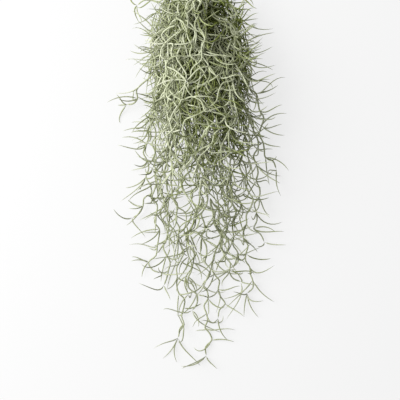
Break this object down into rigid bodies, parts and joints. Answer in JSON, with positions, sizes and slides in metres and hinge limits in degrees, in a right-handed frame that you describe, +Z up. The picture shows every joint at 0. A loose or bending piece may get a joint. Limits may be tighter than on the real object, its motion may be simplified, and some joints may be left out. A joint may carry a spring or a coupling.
{
  "type": "spanish moss bunch",
  "caption": "Lying bunch of grey-green Spanish moss: a matted tangle of thin zigzag stems with curling needle leaves, and single leafy strands that trail to loose tips.",
  "frame": {"origin": "middle of the bunch's outline seen from above, on the surface that it lies on", "axes": "+Y along the strands towards the gathered end, +Z up off the surface, +X across the bunch"},
  "size_m": [0.2184, 0.5158, 0.0819],
  "materials": {
    "tangle_moss": "matte",
    "strand_moss": "matte"
  },
  "bodies": {
    "root": {"tangle": "tangle_moss", "strand_01": "strand_moss", "strand_02": "strand_moss", "strand_03": "strand_moss", "strand_04": "strand_moss", "strand_05": "strand_moss", "strand_06": "strand_moss", "strand_07": "strand_moss", "strand_08": "strand_moss", "strand_09": "strand_moss", "strand_10": "strand_moss", "strand_11": "strand_moss", "strand_12": "strand_moss", "strand_13": "strand_moss", "strand_14": "strand_moss", "strand_15": "strand_moss", "strand_16": "strand_moss", "strand_17": "strand_moss", "strand_18": "strand_moss"}
  },
  "joints": []
}
